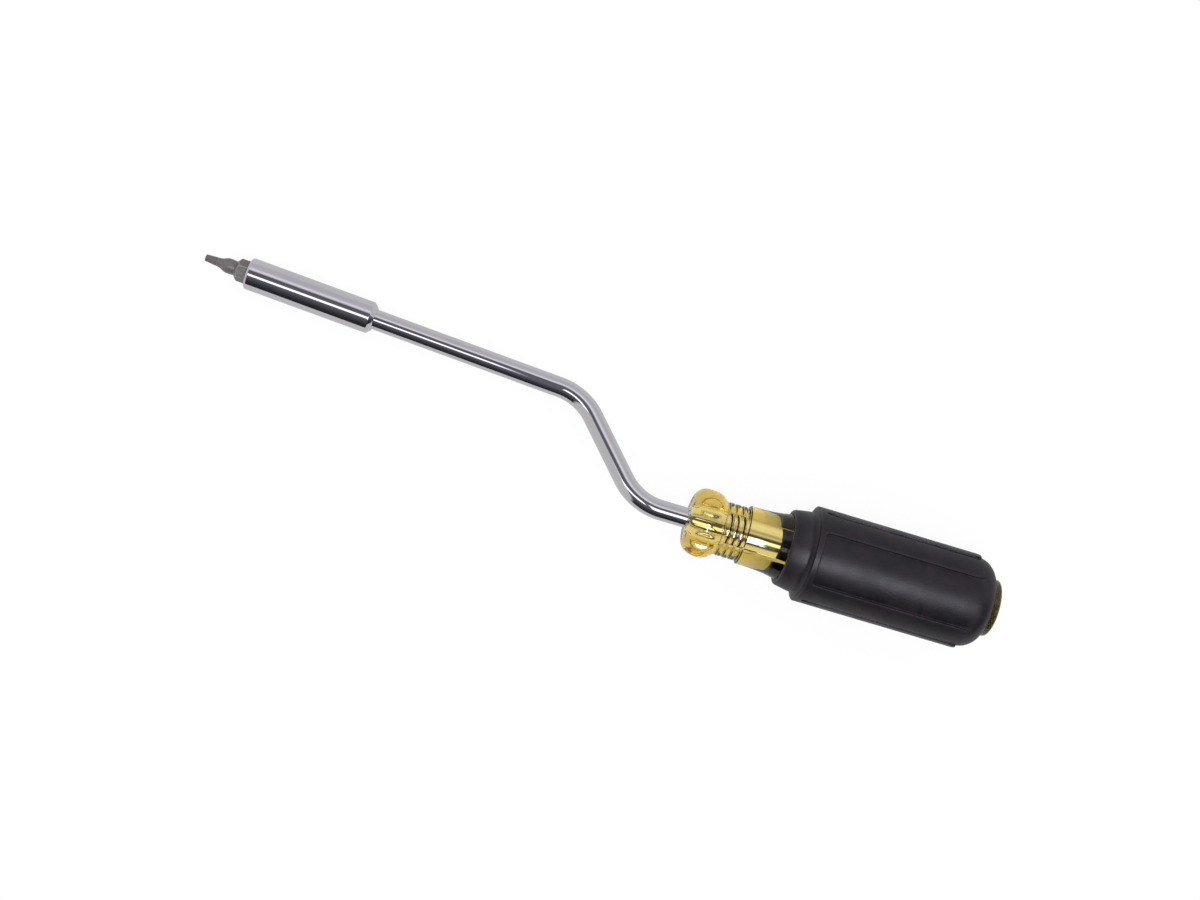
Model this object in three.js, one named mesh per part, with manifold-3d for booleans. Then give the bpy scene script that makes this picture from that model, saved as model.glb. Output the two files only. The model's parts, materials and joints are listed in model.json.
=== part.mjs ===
// A cranked multi-bit screwdriver: a square bit in a magnetic holder, on a bar with two bends,
// in a clear handle under a rubber grip. It lies on a bench with one panel of the grip upwards.
// Millimetres, +Z up, +X from the bit towards the butt of the handle.
import * as THREE from 'three';
import { mergeVertices } from 'three/addons/utils/BufferGeometryUtils.js';
import Module from 'manifold-3d';

const wasm = await Module();
wasm.setup();

// Driving dimensions: the bit
const hexAcrossFlats = 6.35;
const bitLength = 25.4;
const bitExposed = 13.7;
const bitHexStart = 9.6;
const bitHexRamp = 1.2;
const bitTailBevel = 0.6;
const tipAcrossFlats = 1.5;
const tipRootAcrossFlats = 2.3;
const tipLength = 3.8;
const tipRoll = 28;
const bulgeDiameter = 4.7;
const bulgeStart = 7.3;
const neckDiameter = 4.45;
const hexRoll = 3;

// Driving dimensions: the holder, its magnet and its retaining ring
const holderDiameter = 10;
const holderLength = 41.1;
const holderRearBevelLength = 1.5;
const holderRearBevelDepth = 1.4;
const holderMouthBevel = 0.5;
const socketLeadIn = 0.45;
const magnetDiameter = 6.0;
const magnetLength = 5.0;
const ringWire = 0.5;
const ringDepth = 4.5;
const ringOpening = 40;

// Driving dimensions: the cranked bar
const barDiameter = 6.35;
const bendRadius = 18;
const legLength = 37.5;
const legAngle = 49;
const frontSplay = 3.5;
const frontRun = 68.4;
const rearRun = 16.8;
const barInHolder = 18;
const barInHandle = 58;
const wingSpan = 11;
const wingThickness = 1.8;
const wingLength = 9;
const wingFromEnd = 4;

// Driving dimensions: the clear handle, measured from the front of its bolster
const handleLength = 99.6;
const bolsterLength = 11;
const bolsterDiameter = 21.3;
const bolsterFrontDiameter = 13.2;
const bolsterFullness = 0.6;
const bolsterShoulder = 0.8;
const fluteCount = 6;
const fluteRadius = 4;
const fluteDepth = 0.8;
const ringDiameter = 17;
const firstGroove = 11.7;
const grooveCount = 4;
const groovePitch = 2.15;
const grooveWidth = 1.0;
const grooveDepth = 0.6;
const neckFrontDiameter = 18.5;
const neckRearDiameter = 21;
const neckFlare = 0.17;
const bodyDiameter = 22.6;
const keyDepth = 0.9;
const keyMargin = 4;
const tailDiameter = 18.2;
const tailRim = 0.5;

// Driving dimensions: the rubber grip, measured from the front of the bolster
const collarStart = 31.2;
const collarFrontDiameter = 24;
const collarRearDiameter = 26.4;
const collarLip = 0.8;
const panelStart = 38;
const rimWidth = 2.2;
const gripEnd = 97.2;
const panelDiameter = 28.8;
const bandDiameter = 30.4;
const bandEnd = 91.2;
const rearFillet = 6;
const panelHalfAngle = 33;
const grooveAngles = [67, 113];
const grooveHalfAngle = 3.5;

// Clearances: the bit slides in its socket, the other pieces are seated, and cutters run out past a face
const slideClearance = 0.15;
const seatGap = 0.15;
const cutOverrun = 1;

// Facets round the large and the small round pieces and the wire, and along a curve or a bend
const largeFacets = 36;
const smallFacets = 18;
const wireFacets = 8;
const curveSteps = 5;
const barSteps = 56;

const radians = THREE.MathUtils.degToRad;
const between = THREE.MathUtils.lerp;
const hexCorner = (acrossFlats) => acrossFlats / 2 / Math.cos(radians(30));
const squareCorner = (acrossFlats) => acrossFlats / 2 / Math.cos(radians(45));

// A closed three.js geometry as a solid that can be joined and cut
function solid(geometry) {
  const bare = geometry.clone();
  bare.deleteAttribute('normal');
  bare.deleteAttribute('uv');
  const merged = mergeVertices(bare, 1e-4);
  const corners = merged.index.array;
  const triangles = [];
  for (let i = 0; i < corners.length; i += 3) {
    const [a, b, c] = corners.slice(i, i + 3);
    if (a !== b && b !== c && c !== a) triangles.push(a, b, c);
  }
  return new wasm.Manifold(
    new wasm.Mesh({
      numProp: 3,
      vertProperties: merged.attributes.position.array,
      triVerts: new Uint32Array(triangles),
    }),
  );
}

// A solid as one named mesh
function piece(name, body, material) {
  const { vertProperties, triVerts, numProp } = body.getMesh();
  const geometry = new THREE.BufferGeometry();
  const positions = new THREE.InterleavedBuffer(vertProperties, numProp);
  geometry.setAttribute('position', new THREE.InterleavedBufferAttribute(positions, 3, 0));
  geometry.setIndex(new THREE.BufferAttribute(triVerts, 1));
  const flat = geometry.toNonIndexed();
  flat.computeVertexNormals();
  const mesh = new THREE.Mesh(flat, material);
  mesh.name = name;
  return mesh;
}

// A profile of (place along X, radius) points, turned round the X axis
function turned(profile, facets) {
  const points = profile.map((point) => new THREE.Vector2(point.y, point.x));
  return solid(new THREE.LatheGeometry(points, facets).rotateZ(-Math.PI / 2));
}

// A round bar, or with two radii a taper, along X
function roundBar(start, end, radius, facets, endRadius = radius) {
  const profile = [
    new THREE.Vector2(start, 0),
    new THREE.Vector2(start, radius),
    new THREE.Vector2(end, endRadius),
    new THREE.Vector2(end, 0),
  ];
  return turned(profile, facets);
}

// A regular prism along X, or with two corner radii a taper, with a corner towards +Z
function prism(start, end, sides, cornerRadius, endCornerRadius = cornerRadius) {
  const shape = new THREE.CylinderGeometry(endCornerRadius, cornerRadius, end - start, sides);
  shape.rotateZ(-Math.PI / 2);
  shape.translate((start + end) / 2, 0, 0);
  return solid(shape);
}

// A solid turned round the X axis, by an angle from +Z towards +Y
function rolled(body, degrees) {
  return body.rotate([-degrees, 0, 0]);
}

// A copy of a cutter at each angle round the X axis, joined to one
function around(cutter, angles) {
  return angles.map((angle) => rolled(cutter, angle)).reduce((all, next) => all.add(next));
}

const evenAngles = (count) => Array.from({ length: count }, (_, i) => ((i + 0.5) * 360) / count);

// Materials
const finish = (color, roughness, metalness) =>
  new THREE.MeshStandardMaterial({ color, roughness, metalness });
const chrome = finish(0xd6d8dc, 0.08, 1);
const darkSteel = finish(0x54524f, 0.45, 1);
const springSteel = finish(0x8b8d90, 0.3, 1);
const magnetNickel = finish(0xb4b6b8, 0.2, 1);
const amber = finish(0xd9a823, 0.1, 0);
amber.transparent = true;
amber.opacity = 0.6;
const rubber = finish(0x2b2a2d, 0.7, 0);

// The places that pieces share, along the holder's axis from its mouth and along the handle's axis
const bitTip = -bitExposed;
const bitTail = bitTip + bitLength;
const magnetFace = bitTail + seatGap;
const magnetBack = magnetFace + magnetLength;
const barFront = holderLength - barInHolder;
const collarSeat = collarStart + collarLip;

// The bit: a square tip, a turned neck with a bulge, and a hex body that tapers into the neck
function squareBit() {
  const at = (distance) => bitTip + distance;
  const tip = prism(
    at(0), at(bulgeStart), 4,
    squareCorner(tipAcrossFlats), squareCorner(tipRootAcrossFlats),
  );
  const flare = (tipLength + bulgeStart) / 2;
  const neck = new THREE.Path();
  neck.moveTo(at(tipLength), 0);
  neck.lineTo(at(tipLength), tipRootAcrossFlats / 2);
  neck.bezierCurveTo(
    at(flare), tipRootAcrossFlats / 2, at(flare), bulgeDiameter / 2, at(bulgeStart), bulgeDiameter / 2,
  );
  neck.lineTo(at(bitHexStart - bitHexRamp), bulgeDiameter / 2);
  neck.lineTo(at(bitHexStart), neckDiameter / 2);
  neck.lineTo(at(bitHexStart + bitHexRamp), neckDiameter / 2);
  neck.lineTo(at(bitHexStart + bitHexRamp), 0);
  const corner = hexCorner(hexAcrossFlats);
  const envelope = [
    new THREE.Vector2(at(bitHexStart), 0),
    new THREE.Vector2(at(bitHexStart), neckDiameter / 2),
    new THREE.Vector2(at(bitHexStart + bitHexRamp), corner),
    new THREE.Vector2(bitTail - bitTailBevel, corner),
    new THREE.Vector2(bitTail, corner - bitTailBevel),
    new THREE.Vector2(bitTail, 0),
  ];
  const hex = prism(at(bitHexStart), bitTail, 6, corner).intersect(turned(envelope, smallFacets));
  const turnedNeck = turned(neck.getPoints(curveSteps), smallFacets);
  const body = rolled(hex, hexRoll).add(turnedNeck).add(rolled(tip, 45 + tipRoll));
  return piece('square_bit', body, darkSteel);
}

// The holder: hex socket with a lead-in, ring groove, magnet pocket, and a bore for the bar behind
const ringInside = hexCorner(hexAcrossFlats) + slideClearance;
const ringGroove = ringInside + ringWire + seatGap;

function bitHolder() {
  const radius = holderDiameter / 2;
  const profile = [
    new THREE.Vector2(0, 0),
    new THREE.Vector2(0, radius - holderMouthBevel),
    new THREE.Vector2(holderMouthBevel, radius),
    new THREE.Vector2(holderLength - holderRearBevelLength, radius),
    new THREE.Vector2(holderLength, radius - holderRearBevelDepth),
    new THREE.Vector2(holderLength, 0),
  ];
  const socketCorner = hexCorner(hexAcrossFlats + 2 * slideClearance);
  const socket = rolled(prism(-cutOverrun, magnetFace, 6, socketCorner), hexRoll);
  const leadInFront = socketCorner + cutOverrun;
  const leadInBack = socketCorner - socketLeadIn;
  const leadIn = roundBar(-cutOverrun, socketLeadIn, leadInFront, smallFacets, leadInBack);
  const grooveHalf = ringWire / 2 + seatGap;
  const groove = roundBar(ringDepth - grooveHalf, ringDepth + grooveHalf, ringGroove, smallFacets);
  const pocketRadius = magnetDiameter / 2 + seatGap;
  const pocket = roundBar(magnetFace - cutOverrun, magnetBack + seatGap, pocketRadius, smallFacets);
  const boreRadius = barDiameter / 2 + seatGap;
  const bore = roundBar(barFront - seatGap, holderLength + cutOverrun, boreRadius, smallFacets);
  const body = [socket, leadIn, groove, pocket, bore].reduce(
    (left, cutter) => left.subtract(cutter),
    turned(profile, largeFacets),
  );
  return piece('bit_holder', body, chrome);
}

// The retaining ring: one open turn of spring wire in the groove of the socket
function retainingRing() {
  const half = radians(180 - ringOpening / 2);
  const radius = ringInside + ringWire / 2;
  const turn = new THREE.EllipseCurve(0, 0, radius, radius, -half, half);
  const path = new THREE.CatmullRomCurve3(
    turn.getPoints(smallFacets).map((point) => new THREE.Vector3(ringDepth, point.y, point.x)),
  );
  const wire = new THREE.Shape().absarc(0, 0, ringWire / 2, 0, 2 * Math.PI);
  const shape = new THREE.ExtrudeGeometry(wire, {
    steps: smallFacets,
    extrudePath: path,
    curveSegments: wireFacets,
    bevelEnabled: false,
  });
  return piece('retaining_ring', solid(shape), springSteel);
}

function socketMagnet() {
  const body = roundBar(magnetFace, magnetBack, magnetDiameter / 2, smallFacets);
  return piece('socket_magnet', body, magnetNickel);
}

// The crank lies in the XY plane, with the corner of its leg and the handle's axis at the origin
const frontCorner = new THREE.Vector2(-Math.cos(radians(legAngle)), Math.sin(radians(legAngle)));
frontCorner.multiplyScalar(legLength);
const towardsBit = new THREE.Vector2(-Math.cos(radians(frontSplay)), Math.sin(radians(frontSplay)));
const alongFront = (distance) => frontCorner.clone().addScaledVector(towardsBit, distance);
const mouth = alongFront(frontRun + holderLength);

// On the bench the panels of the grip face up and down, and the plane of the crank is rolled out of the
// level about the handle's axis, until the holder's mouth is down beside the grip's front rim.
const crankRoll = THREE.MathUtils.radToDeg(Math.asin((bandDiameter - holderDiameter) / 2 / mouth.y));

// The bar's centreline: straight runs joined by arcs of the bend radius
class Centreline extends THREE.Curve {
  constructor(route) {
    super();
    this.route = route;
  }

  getPoint(t, target = new THREE.Vector3()) {
    const point = this.route.getPoint(t);
    return target.set(point.x, point.y, 0);
  }
}

// Adds the arc that rounds a corner of a route, where it turns by an angle
function bend(route, corner, incoming, degrees) {
  const turn = radians(degrees);
  const start = corner.clone().addScaledVector(incoming, -bendRadius * Math.tan(Math.abs(turn) / 2));
  const side = new THREE.Vector2(-incoming.y, incoming.x).multiplyScalar(Math.sign(turn));
  const centre = start.clone().addScaledVector(side, bendRadius);
  const from = Math.atan2(start.y - centre.y, start.x - centre.x);
  route.lineTo(start.x, start.y);
  route.absarc(centre.x, centre.y, bendRadius, from, from + turn, turn < 0);
}

function crankShank() {
  const front = alongFront(frontRun + barInHolder);
  const route = new THREE.Path();
  route.moveTo(front.x, front.y);
  bend(route, frontCorner, towardsBit.clone().negate(), frontSplay - legAngle);
  bend(route, new THREE.Vector2(0, 0), frontCorner.clone().normalize().negate(), legAngle);
  route.lineTo(rearRun + barInHandle, 0);
  const section = new THREE.Shape().absarc(0, 0, barDiameter / 2, 0, 2 * Math.PI);
  const bar = new THREE.ExtrudeGeometry(section, {
    steps: barSteps,
    extrudePath: new Centreline(route),
    curveSegments: smallFacets / 2,
    bevelEnabled: false,
  });
  const wings = wingBar(0).translate([rearRun, 0, 0]);
  return piece('crank_shank', solid(bar).add(wings), chrome);
}

// The flattened wings near the bar's end, with a gap all round for the slot that they sit in
function wingBar(gap) {
  const length = wingLength + 2 * gap;
  const shape = new THREE.BoxGeometry(length, wingSpan + 2 * gap, wingThickness + 2 * gap);
  shape.translate(barInHandle - wingFromEnd - wingLength / 2, 0, 0);
  return solid(shape);
}

// The grooves follow the bolster, and the neck follows them
const grooveCentre = (i) => firstGroove + i * groovePitch;
const neckStart = grooveCentre(grooveCount - 1) + grooveWidth;

// The handle's outline under the grip: grown by a gap and run out past both ends, it is the grip's bore
function handleBody(gap, overrun) {
  const radius = bodyDiameter / 2 + gap;
  const tail = tailDiameter / 2 + gap;
  const outline = new THREE.Path();
  outline.moveTo(collarStart - overrun, 0);
  outline.lineTo(collarStart - overrun, neckRearDiameter / 2 + gap);
  outline.lineTo(collarSeat, neckRearDiameter / 2 + gap);
  outline.lineTo(panelStart, radius);
  outline.lineTo(bandEnd - rearFillet, radius);
  outline.lineTo(bandEnd, tail);
  outline.lineTo(gripEnd + overrun, tail);
  outline.lineTo(gripEnd + overrun, 0);
  const keyStart = panelStart + keyMargin + gap;
  const keyEnd = bandEnd - rearFillet - keyMargin - gap;
  const key = roundBar(keyStart, keyEnd, fluteRadius - gap, smallFacets)
    .translate([0, 0, bodyDiameter / 2 - keyDepth + fluteRadius]);
  return turned(outline.getPoints(), largeFacets).subtract(around(key, evenAngles(fluteCount)));
}

function handleCore() {
  const crest = bolsterDiameter / 2;
  const edge = bolsterFrontDiameter / 2;
  const ring = ringDiameter / 2;
  const middle = bolsterLength / 2;
  const outline = new THREE.Path();
  outline.moveTo(0, 0);
  outline.lineTo(0, edge);
  outline.bezierCurveTo(0, between(edge, crest, bolsterFullness), middle / 2, crest, middle, crest);
  outline.bezierCurveTo(
    (middle + bolsterLength) / 2, crest,
    between(middle, bolsterLength, bolsterShoulder), (ring + crest) / 2,
    bolsterLength, ring,
  );
  for (let i = 0; i < grooveCount; i += 1) {
    const centre = grooveCentre(i);
    outline.lineTo(centre - grooveWidth / 2, ring);
    outline.quadraticCurveTo(centre, ring - 2 * grooveDepth, centre + grooveWidth / 2, ring);
  }
  const neck = neckFrontDiameter / 2;
  const neckRear = neckRearDiameter / 2;
  outline.quadraticCurveTo(neckStart - grooveWidth / 2, neck, neckStart, neck);
  outline.bezierCurveTo(
    (neckStart * 2 + collarStart) / 3, neck,
    (neckStart + collarStart * 2) / 3, between(neck, neckRear, neckFlare),
    collarStart, neckRear,
  );
  outline.lineTo(collarSeat, neckRear);
  outline.lineTo(collarSeat, 0);
  const flute = roundBar(-cutOverrun, bolsterLength, fluteRadius, smallFacets)
    .translate([0, 0, crest - fluteDepth + fluteRadius]);
  const flutes = around(flute, evenAngles(fluteCount));
  const frontHalf = turned(outline.getPoints(curveSteps), largeFacets).subtract(flutes);
  const tail = tailDiameter / 2;
  const tailProfile = [
    new THREE.Vector2(bandEnd, 0),
    new THREE.Vector2(bandEnd, tail),
    new THREE.Vector2(handleLength - tailRim, tail),
    new THREE.Vector2(handleLength, tail - tailRim),
    new THREE.Vector2(handleLength, 0),
  ];
  const whole = frontHalf.add(handleBody(0, 0)).add(turned(tailProfile, largeFacets));
  const bore = roundBar(-cutOverrun, barInHandle + seatGap, barDiameter / 2 + seatGap, smallFacets);
  const body = whole.subtract(bore).subtract(rolled(wingBar(seatGap), crankRoll));
  return piece('handle_core', body, amber);
}

// The grip: a tapered collar, a front rim, panels with raised bands between them, and a rounded rear
function sector(halfAngle, start, end) {
  const reach = bandDiameter;
  const wedge = new THREE.Shape();
  wedge.moveTo(0, 0);
  wedge.lineTo(-reach * Math.sin(radians(halfAngle)), reach * Math.cos(radians(halfAngle)));
  wedge.lineTo(reach * Math.sin(radians(halfAngle)), reach * Math.cos(radians(halfAngle)));
  wedge.closePath();
  const shape = new THREE.ExtrudeGeometry(wedge, { depth: end - start, bevelEnabled: false });
  shape.rotateX(Math.PI / 2).rotateZ(Math.PI / 2).translate(start, 0, 0);
  return solid(shape);
}

function cushionGrip() {
  const radius = panelDiameter / 2;
  const outline = new THREE.Path();
  outline.moveTo(collarStart, 0);
  outline.lineTo(collarStart, collarFrontDiameter / 2 - collarLip);
  outline.quadraticCurveTo(collarStart, collarFrontDiameter / 2, collarSeat, collarFrontDiameter / 2);
  outline.lineTo(panelStart, collarRearDiameter / 2);
  outline.lineTo(panelStart, radius);
  outline.lineTo(gripEnd - rearFillet, radius);
  outline.absarc(gripEnd - rearFillet, radius - rearFillet, rearFillet, Math.PI / 2, 0, true);
  outline.lineTo(gripEnd, 0);
  const cutEnd = bandEnd + cutOverrun;
  const inside = roundBar(panelStart - cutOverrun, cutEnd, radius - cutOverrun, largeFacets);
  const bandRing = roundBar(panelStart, bandEnd, bandDiameter / 2, largeFacets).subtract(inside);
  const rimBack = panelStart + rimWidth;
  const panels = around(sector(panelHalfAngle, rimBack, cutEnd), [0, 180]);
  const grooves = around(
    sector(grooveHalfAngle, rimBack, cutEnd),
    grooveAngles.flatMap((angle) => [angle, -angle]),
  );
  const bands = bandRing.subtract(panels).subtract(grooves);
  const sleeve = turned(outline.getPoints(curveSteps), largeFacets).add(bands);
  return piece('cushion_grip', sleeve.subtract(handleBody(seatGap, cutOverrun)), rubber);
}

const handle = new THREE.Group();
handle.position.x = rearRun;
handle.add(handleCore(), cushionGrip());

const front = new THREE.Group();
front.position.set(mouth.x, mouth.y, 0);
front.rotation.z = -radians(frontSplay);
front.add(squareBit(), bitHolder(), retainingRing(), socketMagnet());

const crank = new THREE.Group();
crank.rotation.x = -radians(crankRoll);
crank.add(front, crankShank());

const tool = new THREE.Group();
tool.add(handle, crank);

const screwdriver = new THREE.Group();
screwdriver.add(tool);
const box = new THREE.Box3().setFromObject(screwdriver, true);
const middle = box.getCenter(new THREE.Vector3());
tool.position.set(-middle.x, -middle.y, -box.min.z);

export default screwdriver;
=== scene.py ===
# %% [markdown]
# A cranked screwdriver with a clear handle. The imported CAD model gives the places, and this lesson models
# each piece again with rounder forms and real finishes, then lights it like a studio shot. All profiles
# are written in millimetres along a piece's own axis, and are scaled to metres at the end.

# %% Load the frame
import json
import math

import bmesh
import bpy
from mathutils import Matrix, Vector
from mathutils.geometry import interpolate_bezier


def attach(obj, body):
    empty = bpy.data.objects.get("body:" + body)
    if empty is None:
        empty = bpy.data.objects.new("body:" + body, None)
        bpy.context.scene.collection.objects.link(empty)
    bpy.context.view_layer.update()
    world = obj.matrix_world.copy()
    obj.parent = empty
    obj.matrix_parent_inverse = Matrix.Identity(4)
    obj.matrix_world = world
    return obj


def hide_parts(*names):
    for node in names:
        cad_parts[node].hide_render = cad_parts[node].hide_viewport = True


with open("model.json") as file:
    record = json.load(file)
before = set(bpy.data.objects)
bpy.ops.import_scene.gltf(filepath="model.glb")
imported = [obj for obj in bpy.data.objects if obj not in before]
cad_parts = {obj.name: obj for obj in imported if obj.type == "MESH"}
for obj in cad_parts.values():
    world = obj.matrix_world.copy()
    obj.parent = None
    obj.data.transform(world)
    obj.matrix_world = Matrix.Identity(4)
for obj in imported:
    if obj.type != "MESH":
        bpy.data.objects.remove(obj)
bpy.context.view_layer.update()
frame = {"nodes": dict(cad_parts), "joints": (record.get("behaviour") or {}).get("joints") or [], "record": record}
print("CAD nodes:", sorted(frame["nodes"]))

# %% [markdown]
# The pieces are made in three places: on the handle's axis, in the crank's plane and on the bit holder's
# axis. The two mounts of the record and the way the bit pulls out are enough to find them, so no place is
# typed in twice.

# %% Find the places of the handle, the crank and the holder
MM = 0.001
handle_length = 99.6
rear_run = 16.8
bit_exposed = 13.7

mounts = {mount["name"]: Vector(mount["pos_m"]) for mount in frame["record"]["mounts"]}
pull_out = Vector(frame["joints"][0]["axis"])
to_butt = Vector((1, 0, 0))
upwards = Vector((0, 0, 1))
crank_normal = to_butt.cross(pull_out).normalized()


def place(origin, x_axis, z_axis):
    """The matrix that sets a piece made in millimetres along X into the tool, in metres."""
    y_axis = z_axis.cross(x_axis)
    turn = Matrix((x_axis, y_axis, z_axis)).transposed().to_4x4()
    return Matrix.Translation(origin) @ turn @ Matrix.Scale(MM, 4)


butt = mounts["butt_face"]
handle_place = place(butt - to_butt * handle_length * MM, to_butt, upwards)
crank_place = place(butt - to_butt * (handle_length + rear_run) * MM, to_butt, crank_normal)
holder_place = place(mounts["bit_tip"] - pull_out * bit_exposed * MM, -pull_out, crank_normal)
print("Holder's mouth at", holder_place.translation)

# %% [markdown]
# Most pieces here are turned on a lathe in life, so the main tool is bmesh's spin: a few points in a
# profile, joined by edges, swept once round the X axis. A corner of the profile can be given a rounding,
# because no moulded or machined edge is perfectly sharp, and a rounded edge is what catches the light.

# %% Profiles and the lathe
corner_pull = 0.6
corner_points = 5
weld_distance = 0.0005


def bezier(start, first_pull, second_pull, end, count):
    """Points along a curve of the profile, as places along the axis and radii."""
    knots = [Vector((x, radius, 0)) for x, radius in (start, first_pull, second_pull, end)]
    return [(point.x, point.y) for point in interpolate_bezier(*knots, count)]


def outline(*corners):
    """A profile through (place, radius) corners; a third number rounds the corner over that length."""
    points = []
    for i, corner in enumerate(corners):
        spot = Vector(corner[:2])
        if len(corner) == 2:
            points.append(tuple(spot))
            continue
        before = Vector(corners[i - 1][:2])
        after = Vector(corners[(i + 1) % len(corners)][:2])
        start = spot + (before - spot).normalized() * corner[2]
        end = spot + (after - spot).normalized() * corner[2]
        pulls = start.lerp(spot, corner_pull), end.lerp(spot, corner_pull)
        points += bezier(start, *pulls, end, corner_points)
    return points


def profile_edges(bm, points, degrees=0, closed=False):
    """The profile as vertices and edges, at an angle from +Z towards +Y."""
    lean = math.radians(degrees)
    verts = [bm.verts.new((x, r * math.sin(lean), r * math.cos(lean))) for x, r in points]
    pairs = list(zip(verts, verts[1:]))
    if closed:
        pairs.append((verts[-1], verts[0]))
    return verts + [bm.edges.new(pair) for pair in pairs]


def turn_round(bm, geometry, degrees, steps, whole=False):
    """Spins geometry round the X axis, from +Z towards +Y, and returns the last copy."""
    spun = bmesh.ops.spin(
        bm, geom=geometry, cent=(0, 0, 0), axis=(-1, 0, 0), angle=math.radians(degrees), steps=steps,
        use_merge=whole,
    )
    return [g for g in spun["geom_last"] if not isinstance(g, bmesh.types.BMFace)]


def close_up(bm):
    """Welds the seam and the poles of a spun shape, and turns its faces outwards."""
    bmesh.ops.remove_doubles(bm, verts=bm.verts, dist=weld_distance)
    bmesh.ops.recalc_face_normals(bm, faces=bm.faces)


def lathe(points, steps, degrees=0):
    """A closed body from a profile that starts and ends on the axis."""
    bm = bmesh.new()
    turn_round(bm, profile_edges(bm, points, degrees), 360, steps, whole=True)
    close_up(bm)
    return bm


def radius_of(vert):
    return math.hypot(vert.co.y, vert.co.z)


def angle_of(spot):
    """Degrees round the axis, from +Z towards +Y."""
    return math.degrees(math.atan2(spot.y, spot.z))


def set_radius(vert, radius):
    now = radius_of(vert)
    if now > 0:
        vert.co.y *= radius / now
        vert.co.z *= radius / now


print("A test disc has", len(lathe(outline((0, 0), (0, 5, 1), (2, 5), (2, 0)), 24).faces), "faces")

# %% [markdown]
# Flutes, a square tip and a hexagon are all cuts into a round body. Seen from the axis each of them is
# just a radius for every angle, so they are made by moving the vertices of a spun shape in or out. The
# soft minimum rounds the line where two forms meet, as polishing does on the real pieces.

# %% Radii of cut forms
def soft_min(a, b, blend):
    closeness = max(blend - abs(a - b), 0) / blend
    return min(a, b) - closeness * closeness * blend / 4


def soft_max(a, b, blend):
    return -soft_min(-a, -b, blend)


def off_centre(degrees, count, first):
    """How far an angle is from the nearest of evenly spaced ones, in radians."""
    pitch = 360 / count
    return math.radians((degrees - first + pitch / 2) % pitch - pitch / 2)


def flat_sided(degrees, sides, across_flats, corner):
    """The radius of a regular prism that has a corner at the given angle."""
    return across_flats / 2 / math.cos(off_centre(degrees, sides, corner + 180 / sides))


def channel(degrees, count, first, distance, radius):
    """The radius at the bottom of round channels that run along the body, or None beside them."""
    lean = off_centre(degrees, count, first)
    side = distance * math.sin(lean)
    if abs(side) >= radius:
        return None
    return distance * math.cos(lean) - math.sqrt(radius * radius - side * side)


print("Hexagon at its corner:", round(flat_sided(0, 6, 6.35, 0), 3), "mm")

# %% [markdown]
# A finished piece keeps its place in its mesh, with the object itself at the origin. It stands for one
# CAD node, which it hides, and rides on that node's body. Before the mesh is made, each vertex is told
# how sharp an outward edge it sits on: the finishes read that number to rub edges bright.

# %% Finishing a piece
full_edge = 35


def mark_edges(bm):
    """Writes 0 on flat and hollow places and up to 1 on outward edges to the attribute 'edge'."""
    layer = bm.verts.layers.float.new("edge")
    for vert in bm.verts:
        turns = [edge.calc_face_angle_signed(0) for edge in vert.link_edges]
        vert[layer] = min(max(math.degrees(max(turns, default=0)) / full_edge, 0), 1)


def finish_piece(bm, name, node, body, where, material, smooth_levels=0):
    mark_edges(bm)
    bmesh.ops.transform(bm, matrix=where, verts=bm.verts)
    mesh = bpy.data.meshes.new(name)
    bm.to_mesh(mesh)
    bm.free()
    mesh.shade_smooth()
    mesh.materials.append(material)
    piece = bpy.data.objects.new(name, mesh)
    bpy.context.scene.collection.objects.link(piece)
    if smooth_levels:
        smoothing = piece.modifiers.new("smooth", "SUBSURF")
        smoothing.levels = smooth_levels
        smoothing.render_levels = smooth_levels
    else:
        mesh.set_sharp_from_angle(angle=math.radians(full_edge))
    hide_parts(node)
    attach(piece, body)
    print(name, "has", len(mesh.polygons), "faces")
    return piece


# %% [markdown]
# Every finish is a small node tree. These helpers add a node, set its menus, and fill each input with a
# number, a colour or a link, so that a tree reads from top to bottom like a recipe.

# %% Building node trees
def set_inputs(tree, node, **inputs):
    """Fills inputs of a node with numbers, colours or links."""
    for name, value in inputs.items():
        socket = node.inputs[name.replace("_", " ")]
        if isinstance(value, bpy.types.NodeSocket):
            tree.links.new(value, socket)
        else:
            socket.default_value = value


def add_node(tree, kind, menus=None, **inputs):
    node = tree.nodes.new(kind)
    for name, value in (menus or {}).items():
        setattr(node, name, value)
    set_inputs(tree, node, **inputs)
    return node


def between(tree, amount, low, high):
    """A mask from 0 to 1, spread to run from low to high."""
    node = add_node(tree, "ShaderNodeMapRange", Value=amount, To_Min=low, To_Max=high)
    return node.outputs["Result"]


def times(tree, first, second):
    node = add_node(tree, "ShaderNodeMath", {"operation": "MULTIPLY"})
    tree.links.new(first, node.inputs[0])
    tree.links.new(second, node.inputs[1])
    return node.outputs[0]


def two_colours(tree, amount, first, second):
    """Runs from the first colour to the second as the mask goes from 0 to 1."""
    ramp = add_node(tree, "ShaderNodeValToRGB", Fac=amount)
    ramp.color_ramp.elements[0].color = (*first, 1)
    ramp.color_ramp.elements[1].color = (*second, 1)
    return ramp.outputs["Color"]


def mix_colours(tree, amount, first, second):
    """Mixes two colours or colour links by a mask."""
    node = add_node(tree, "ShaderNodeMix", {"data_type": "RGBA"})
    tree.links.new(amount, node.inputs["Factor"])
    for slot, colour in (("A", first), ("B", second)):
        socket = [s for s in node.inputs if s.name == slot and s.type == "RGBA"][0]
        if isinstance(colour, bpy.types.NodeSocket):
            tree.links.new(colour, socket)
        else:
            socket.default_value = (*colour, 1)
    return [s for s in node.outputs if s.type == "RGBA"][0]


def new_finish(name):
    material = bpy.data.materials.new(name)
    material.use_nodes = True
    return material, material.node_tree, material.node_tree.nodes["Principled BSDF"]


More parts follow.
